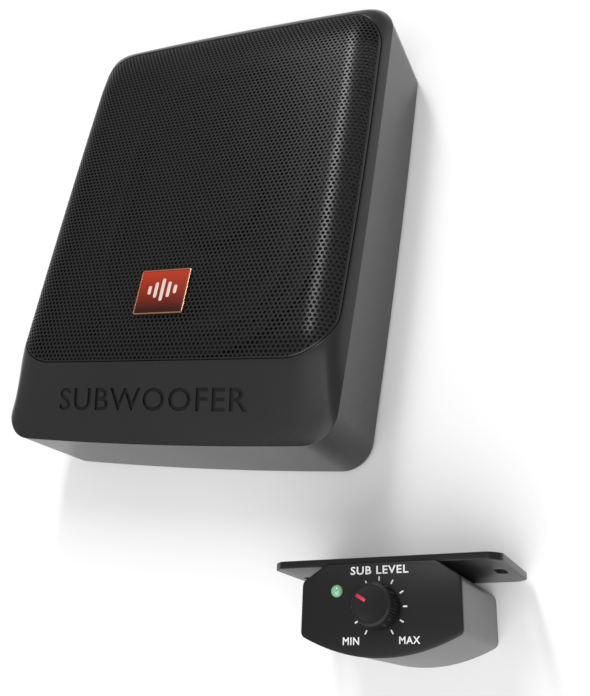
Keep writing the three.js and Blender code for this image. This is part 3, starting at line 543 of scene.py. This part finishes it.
bm = bmesh.new()
foot = RECESS + GRILLE_GAP
rim_sections = [(grille_edge, foot), (grille_edge, face_less(GRILLE_DROP + ROUND))]
for d in (0.06, 0.2, 0.45, 0.8):
    drop = GRILLE_DROP + ROUND * (1 - shoulder(d, 0.8)) - 0.03
    rim_sections.append((inset(grille_edge, d), face_less(drop)))
rim_sections += [(inset(grille_edge, 1.0), face_less(1.2)), (inset(grille_edge, 1.0), foot)]
stack(bm, rim_sections, closed=True)
put("grille_rim", bm, black_coat, "enclosure", "grille_mesh")


# Badge. A small plate pressed from brass, its field lacquered red and darkened towards the near
# end by painted shade, with five raised bars. It is glued to the grille.
badge_place = Matrix.Translation((-0.005, -0.054, 0.0656))
plate = track(15.5, -13, 13, 1.4)


def badge_metal(wire):
    return {"Base Color": wire.blend(wire.noise(0.002), (0.62, 0.30, 0.17, 1), (0.72, 0.38, 0.22, 1))}


def badge_lacquer_painted_shade(wire):
    place = wire.add("ShaderNodeTexCoord", out=3)
    along = wire.add("ShaderNodeSeparateXYZ", None, {0: place}, out=1)
    # Painted shade: the red fades to near black towards the near end of the badge.
    part = (along + 0.064) / 0.023 + wire.noise(0.001) * 0.04
    return {"Base Color": wire.blend(part, (0.03, 0.004, 0.003, 1), (0.42, 0.030, 0.006, 1))}


bm = bmesh.new()
frame_sections = [(0.0, 0.0), (0.0, 0.8), (0.12, 1.08), (0.4, 1.2), (0.8, 1.1), (0.85, 0.8), (0.9, 0.0)]
stack(bm, [(inset(plate, d), z) for d, z in frame_sections], closed=True)
put("badge", bm, finish("badge_metal", badge_metal, Metallic=1.0, Roughness=0.28), "enclosure", "badge_red",
    "badge", place=badge_place)
bm = bmesh.new()
stack(bm, [(inset(plate, 0.9), 0.05), (inset(plate, 0.9), 0.85), (inset(plate, 1.2), 0.95)])
put("badge_field", bm, finish("badge_lacquer_painted_shade", badge_lacquer_painted_shade, Roughness=0.32, IOR=1.35), "enclosure",
    "badge_red", place=badge_place)
bm = bmesh.new()
BAR_SPACING = 4
for bar, height in enumerate((5, 9, 13, 9, 5)):
    stroke = track(1.0, -height / 2, height / 2, 0.9)
    one = bmesh.new()
    stack(one, [(stroke, 0.9), (stroke, 1.05), (inset(stroke, 0.2), 1.15)])
    bmesh.ops.translate(one, verts=one.verts, vec=(BAR_SPACING * (bar - 2), 1.0, 0))
    mesh = bpy.data.meshes.new("bar")
    one.to_mesh(mesh)
    one.free()
    bm.from_mesh(mesh)
    bpy.data.meshes.remove(mesh)


def pale_enamel(wire):
    return {"Base Color": wire.blend(wire.noise(0.001), (0.62, 0.50, 0.44, 1), (0.70, 0.58, 0.52, 1))}


enamel = finish("pale_enamel", pale_enamel, Roughness=0.35)
put("badge_bars", bm, enamel, "enclosure", "badge_red", place=badge_place)


# Remote. A black plastic case screwed under a dashboard: a glossy face plate with a ribbed
# knob and a green lamp, a deep housing, and a mounting plate with two slotted ears.
remote_place = Matrix.Translation((0.1331, -0.1989, 0.060)) @ Matrix.Rotation(math.radians(7), 4, "Z")


def slab(bm, points, low, high, bevel, corner=0.0):
    """A prism on the points, its upright edges rounded by corner and its top edge by bevel."""
    verts = [bmesh.ops.create_vert(bm, co=(x, y, low))["vert"][0] for x, y in points]
    bmesh.ops.contextual_create(bm, geom=verts)
    raised = bmesh.ops.extrude_face_region(bm, geom=bm.faces[:])["geom"]
    lifted = [v for v in raised if isinstance(v, bmesh.types.BMVert)]
    bmesh.ops.translate(bm, verts=lifted, vec=(0, 0, high - low))
    bmesh.ops.recalc_face_normals(bm, faces=bm.faces)
    if corner:
        upright = [e for e in bm.edges if abs(e.verts[0].co.z - e.verts[1].co.z) > 1e-4
                   and e.calc_face_angle(0) > math.radians(25)]
        bmesh.ops.bevel(bm, geom=upright, offset=corner, offset_type="OFFSET", segments=6, profile=0.5,
                        affect="EDGES", material=-1)
    if bevel:
        top = [e for e in bm.edges if all(abs(v.co.z - high) < 1e-4 for v in e.verts)]
        bmesh.ops.bevel(bm, geom=top, offset=bevel, offset_type="OFFSET", segments=3, profile=0.5,
                        affect="EDGES", material=-1)
    bmesh.ops.recalc_face_normals(bm, faces=bm.faces)


FACE_SIDE, FACE_TOP_SIDE = 34.25, 24
FACE_TOP, SIDE_TOP, SIDE_LOW = 17.6, 10.9, -10.4
FACE_SAG = 8.7
SAG_STEPS = 24


def remote_outline(d):
    """Outline of the remote's face, d inside its edge: cut top corners and a bowed bottom."""
    side, top_side = FACE_SIDE - d, FACE_TOP_SIDE - d * 0.5
    points = [(top_side, FACE_TOP - d), (-top_side, FACE_TOP - d), (-side, SIDE_TOP - d * 0.5)]
    for step in range(SAG_STEPS + 1):
        x = side * (2 * step / SAG_STEPS - 1)
        points.append((x, SIDE_LOW + d - FACE_SAG * (1 - (x / side) ** 2)))
    return points + [(side, SIDE_TOP - d * 0.5)]


def turned(bm, profile, steps):
    """Spins a profile of (radius, height) round Z into a closed solid."""
    verts = [bmesh.ops.create_vert(bm, co=(r, 0, z))["vert"][0] for r, z in profile]
    for a, b in zip(verts, verts[1:]):
        bmesh.ops.contextual_create(bm, geom=[a, b])
    bmesh.ops.spin(bm, geom=bm.verts[:] + bm.edges[:], cent=(0, 0, 0), axis=(0, 0, 1), angle=math.tau,
                   steps=steps, use_merge=True)
    bmesh.ops.remove_doubles(bm, verts=bm.verts, dist=0.001)
    bmesh.ops.recalc_face_normals(bm, faces=bm.faces)


def satin_black(wire):
    grain = wire.noise(0.0003, 3)
    return {
        "Base Color": wire.blend(wire.noise(0.02), grey(0.010), grey(0.013)),
        "Roughness": grain * 0.1 + 0.27,
        "Normal": bumped(wire, grain, 0.00001, 0.25),
    }


# Painted light: the housing is black plastic like the face plate; its mid grey stands for the light its sides
# catch.
def case_painted_light_grey(wire):
    grain = wire.noise(0.0004, 3)
    return {
        "Base Color": wire.blend(wire.noise(0.02), grey(0.10), grey(0.12)),
        "Roughness": grain * 0.1 + 0.32,
        "Normal": bumped(wire, grain, 0.00001, 0.25),
    }


def print_white(wire):
    return {"Base Color": wire.blend(wire.noise(0.0008), grey(0.72), grey(0.80))}


def signal_red(wire):
    return {"Base Color": wire.blend(wire.noise(0.001), (0.52, 0.012, 0.045, 1), (0.58, 0.016, 0.055, 1))}


def lamp_green(wire):
    return {"Base Color": wire.blend(wire.noise(0.002), (0.20, 0.42, 0.24, 1), (0.26, 0.50, 0.30, 1))}


black = finish("satin_black", satin_black, IOR=1.33)
red = finish("signal_red", signal_red, Roughness=0.3)
bm = bmesh.new()
slab(bm, remote_outline(0), -2, 0, 0.7, corner=1.6)
put("remote_face_plate", bm, black, "remote", "black_plastic", "remote_face_plate", crease=35,
    place=remote_place)
CASE_DEPTH = 62
bm = bmesh.new()
slab(bm, remote_outline(0.25), -CASE_DEPTH, -2.3, 0.4, corner=2.0)
case = finish("case_painted_light_grey", case_painted_light_grey)
put("remote_housing", bm, case, "remote", "black_plastic", "remote_housing", crease=35, place=remote_place)

EAR_HALF, EAR_DEPTH, EAR_CHAMFER = 49.9, 29.9, 4.6
SLOT_X = 43.5
bm = bmesh.new()
corners = [(EAR_HALF - EAR_CHAMFER, -EAR_DEPTH), (EAR_HALF, EAR_CHAMFER - EAR_DEPTH),
           (EAR_HALF, EAR_DEPTH - EAR_CHAMFER), (EAR_HALF - EAR_CHAMFER, EAR_DEPTH)]
slab(bm, corners + [(-x, y) for x, y in reversed(corners)], 0, 3, 0.6, corner=1.5)
ears = put("remote_mount_plate", bm, black, "remote", "black_plastic", "remote_mount_plate", crease=35)
for side in (-1, 1):
    slot = bmesh.new()
    rect = track(2.5, -6, 6, 2.49)
    stack(slot, [(rect, -1), (rect, 4)])
    bmesh.ops.translate(slot, verts=slot.verts, vec=(side * SLOT_X, 0, 0))
    cut_away(ears, slot)
upright = Matrix.Translation((0, 0.0199, -0.031)) @ Matrix.Rotation(math.pi / 2, 4, "X")
ears.data.transform(remote_place @ upright)

KNOB = 9.2
RIBS = 48
RIB_DEPTH = 0.016
bm = bmesh.new()
rings = [(0.3, 0.9), (0.0, 1.3), (0.7, 9.2), (0.95, 9.9), (1.4, 10.3), (2.0, 10.45), (2.5, 10.3)]
turned(bm, [(0, 0.9)] + [(KNOB - d, z) for d, z in rings] + [(0, 10.2)], 4 * RIBS)
for v in bm.verts:
    reach = math.hypot(v.co.x, v.co.y)
    if reach > KNOB - 1.2:
        dip = 1 - RIB_DEPTH * (1 + math.cos(RIBS * math.atan2(v.co.y, v.co.x)))
        v.co.x *= dip
        v.co.y *= dip
put("remote_knob", bm, black, "remote_knob", "black_plastic", "remote_knob", crease=40, place=remote_place)
bm = bmesh.new()
stroke = track(0.65, 2.5, 7.0, 0.3)
stack(bm, [(stroke, 9.9), (stroke, 10.35), (inset(stroke, 0.12), 10.45)])
put("remote_knob_pointer", bm, red, "remote_knob", "red_plastic", "remote_knob_pointer",
    place=remote_place @ Matrix.Rotation(math.radians(60), 4, "Z"))
bm = bmesh.new()
turned(bm, [(0, -6), (2.5, -6), (2.5, 0.4), (2.35, 0.85), (2.0, 1.3), (1.5, 1.65), (0.8, 1.9), (0, 2.0)], 40)
lens = finish("lamp_green", lamp_green, Roughness=0.12, Coat_Weight=0.6)
put("remote_lamp", bm, lens, "remote", "green_lens", "remote_lamp",
    place=remote_place @ Matrix.Translation((-0.0184, 0.0067, 0)))
PRINT = 0.06
white = finish("print_white", print_white, Roughness=0.5)
for label, words, width, cap, place in (("level", "SUB LEVEL", 25, 3.3, (0, 14.5)),
                                        ("low", "MIN", 7, 2.9, (-11.9, -12.7)),
                                        ("high", "MAX", 8.6, 2.8, (12.7, -12.6))):
    put("remote_print_" + label, lettering(words, width, cap, place, 0.0, PRINT, 0.018), white, "remote",
        "white_plastic", place=remote_place)
TICKS = 11
for tick in range(TICKS):
    stroke = track(0.3, 10.1, 11.9, 0.1)
    bm = bmesh.new()
    stack(bm, [(stroke, 0.0), (stroke, PRINT)])
    put(f"remote_tick_{tick + 1}", bm, white, "remote", "white_plastic",
        place=remote_place @ Matrix.Rotation(math.radians(150 - 30 * tick), 4, "Z"))


# Woofer. An oval driver under the grille: a moulded rubber half roll glued to the flange, a
# pressed paper-pulp cone with a dust cap, and a corrugated cloth spider round the coil.
ROLL_LOW = 53.9
ROLL_WIDTH = 12
ROLL_HEIGHT = 4.5
ROLL_STEPS = 16
RUBBER = 1.0
GLUED = 2.5
CONE_TOP = 53.6
CONE_DEPTH = 20.0
CONE_SHEET = 1.2
CONE_STEPS = 12
COIL = 19.0
driver_place = Matrix.Translation((0, middle * MM, 0))
roll_outer = inset(basket_top, GLUED)
cone_edge = inset(roll_outer, ROLL_WIDTH)


def soft_rubber(wire):
    dust = wire.noise(0.0006, 4)
    return {
        "Base Color": wire.blend(dust, grey(0.016), grey(0.026)),
        "Roughness": dust * 0.15 + 0.55,
        "Normal": bumped(wire, dust, 0.00003, 0.4),
    }


def pulp(wire):
    fibre = wire.noise(0.0012, 6)
    return {
        "Base Color": wire.blend(fibre, grey(0.010), grey(0.022)),
        "Roughness": fibre * 0.2 + 0.65,
        "Normal": bumped(wire, fibre, 0.00008, 0.6),
    }


def cloth(wire):
    weave = wire.noise(0.0005, 5)
    return {
        "Base Color": wire.blend(weave, (0.22, 0.13, 0.035, 1), (0.42, 0.27, 0.09, 1)),
        "Normal": bumped(wire, weave, 0.00008, 0.7),
    }


half = ROLL_WIDTH / 2
angles = [math.pi * k / ROLL_STEPS for k in range(ROLL_STEPS + 1)]
roll = [(-GLUED, RUBBER), (-GLUED, 0.0)]
roll += [(half - (half - RUBBER) * math.cos(a), ROLL_HEIGHT * math.sin(a)) for a in angles]
roll += [(ROLL_WIDTH + GLUED, 0.0), (ROLL_WIDTH + GLUED, RUBBER)]
roll += [(half + half * math.cos(a), RUBBER + ROLL_HEIGHT * math.sin(a)) for a in angles]
bm = bmesh.new()
stack(bm, [(inset(roll_outer, d), ROLL_LOW + z) for d, z in roll], closed=True)
put("surround", bm, finish("soft_rubber", soft_rubber), "enclosure", "rubber", "surround")

neck = COIL + 1.2
coil_end = track(neck, middle - neck, middle + neck, neck)
rings = []
for step in range(CONE_STEPS + 1):
    part = step / CONE_STEPS
    dip = CONE_DEPTH * max(0, (part - 0.06) / 0.94) ** 0.85
    rings.append((mixed(cone_edge, coil_end, part), CONE_TOP - dip))
bm = bmesh.new()
stack(bm, rings + [(inset(rect, 0.3), z - CONE_SHEET) for rect, z in reversed(rings)], closed=True)
paper = finish("paper_pulp", pulp)
put("cone", bm, paper, "cone_assembly", "cone_pulp", "cone")

CAP_RADIUS = COIL + 8
CAP_RISE = 7
CAP_SHEET = 0.6
CAP_STEPS = 20
TURNS = 72
cap_top = CONE_TOP - 7
dome = []
for step in range(CAP_STEPS):
    angle = math.pi / 2 * step / CAP_STEPS
    dome.append((CAP_RADIUS * math.cos(angle), cap_top - CAP_RISE + CAP_RISE * math.sin(angle)))
under = [(0, cap_top - CAP_SHEET)] + [(r, z - CAP_SHEET) for r, z in reversed(dome)]
bm = bmesh.new()
turned(bm, under + dome + [(0, cap_top)], TURNS)
put("dust_cap", bm, paper, "cone_assembly", "cone_pulp", "dust_cap", place=driver_place)

WAVES = 3
WAVE_STEPS = 48
WAVE_HEIGHT = 0.6
SPIDER_WIDTH = 20.7
CLOTH = 0.5
cloth_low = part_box("spider")[0].z / MM
waves = []
for step in range(WAVE_STEPS + 1):
    part = step / WAVE_STEPS
    lift = WAVE_HEIGHT - WAVE_HEIGHT * math.cos(part * WAVES * math.tau)
    waves.append((COIL + 0.3 + SPIDER_WIDTH * part, cloth_low + lift))
bm = bmesh.new()
turned(bm, waves + [(r, z + CLOTH) for r, z in reversed(waves)] + waves[:1], TURNS)
spider_cloth = finish("cloth", cloth, Roughness=0.85)
put("spider", bm, spider_cloth, "enclosure", "spider_cloth", "spider", place=driver_place)


# Feet, base plate, connector panel, magnet, amplifier and screws: the bought-in and plainly
# moulded parts keep their shapes. Each material has its own colour, grain, roughness and metal;
# the woofer's screws are blackened, so that they don't glint through the grille.
def plain_dress(light, dark, grain):
    """A finish that varies between two colours in grain-sized lumps, with a slight texture."""
    def dress(wire):
        speck = wire.noise(grain, 3)
        return {
            "Base Color": wire.blend(speck, dark, light),
            "Normal": bumped(wire, speck, grain * 0.05, 0.4),
        }
    return dress


FINISHES = {
    "shell_plastic": (grey(0.036), grey(0.03), 0.0005, 0.4, 0.0),
    "black_plastic": (grey(0.014), grey(0.010), 0.0004, 0.4, 0.0),
    "grille_mesh": (grey(0.03), grey(0.022), 0.0004, 0.4, 0.0),
    "dark_steel": (grey(0.06), grey(0.04), 0.0004, 0.45, 0.8),
    "bright_steel": (grey(0.62), grey(0.5), 0.0003, 0.3, 1.0),
    "rubber": (grey(0.02), grey(0.012), 0.0006, 0.75, 0.0),
    "cone_pulp": (grey(0.03), grey(0.018), 0.0008, 0.8, 0.0),
    "spider_cloth": ((0.42, 0.28, 0.1, 1), (0.3, 0.19, 0.06, 1), 0.0005, 0.85, 0.0),
    "copper": ((0.6, 0.25, 0.1, 1), (0.45, 0.17, 0.07, 1), 0.0003, 0.35, 1.0),
    "ferrite": (grey(0.05), grey(0.035), 0.0006, 0.6, 0.0),
    "badge_red": ((0.5, 0.05, 0.02, 1), (0.4, 0.04, 0.015, 1), 0.0003, 0.3, 0.5),
    "board_green": ((0.03, 0.16, 0.06, 1), (0.02, 0.1, 0.04, 1), 0.0004, 0.4, 0.0),
    "white_plastic": (grey(0.7), grey(0.62), 0.0004, 0.4, 0.0),
    "red_plastic": ((0.5, 0.02, 0.03, 1), (0.42, 0.015, 0.02, 1), 0.0004, 0.35, 0.0),
    "green_lens": ((0.2, 0.45, 0.25, 1), (0.16, 0.4, 0.2, 1), 0.0006, 0.15, 0.0),
    "fuse_blue": ((0.03, 0.12, 0.5, 1), (0.02, 0.09, 0.42, 1), 0.0005, 0.2, 0.0),
}
made_finishes = {}
for slot, (light, dark, grain, rough, metal) in FINISHES.items():
    made_finishes[slot] = finish(slot, plain_dress(light, dark, grain), Roughness=rough, Metallic=metal)
for entry in frame["record"]["subparts"]:
    holder = node[entry["node"]]
    holder.data.materials.clear()
    dark = entry["node"].startswith("driver_screw")
    holder.data.materials.append(made_finishes["black_plastic" if dark else entry["material_slot"]])
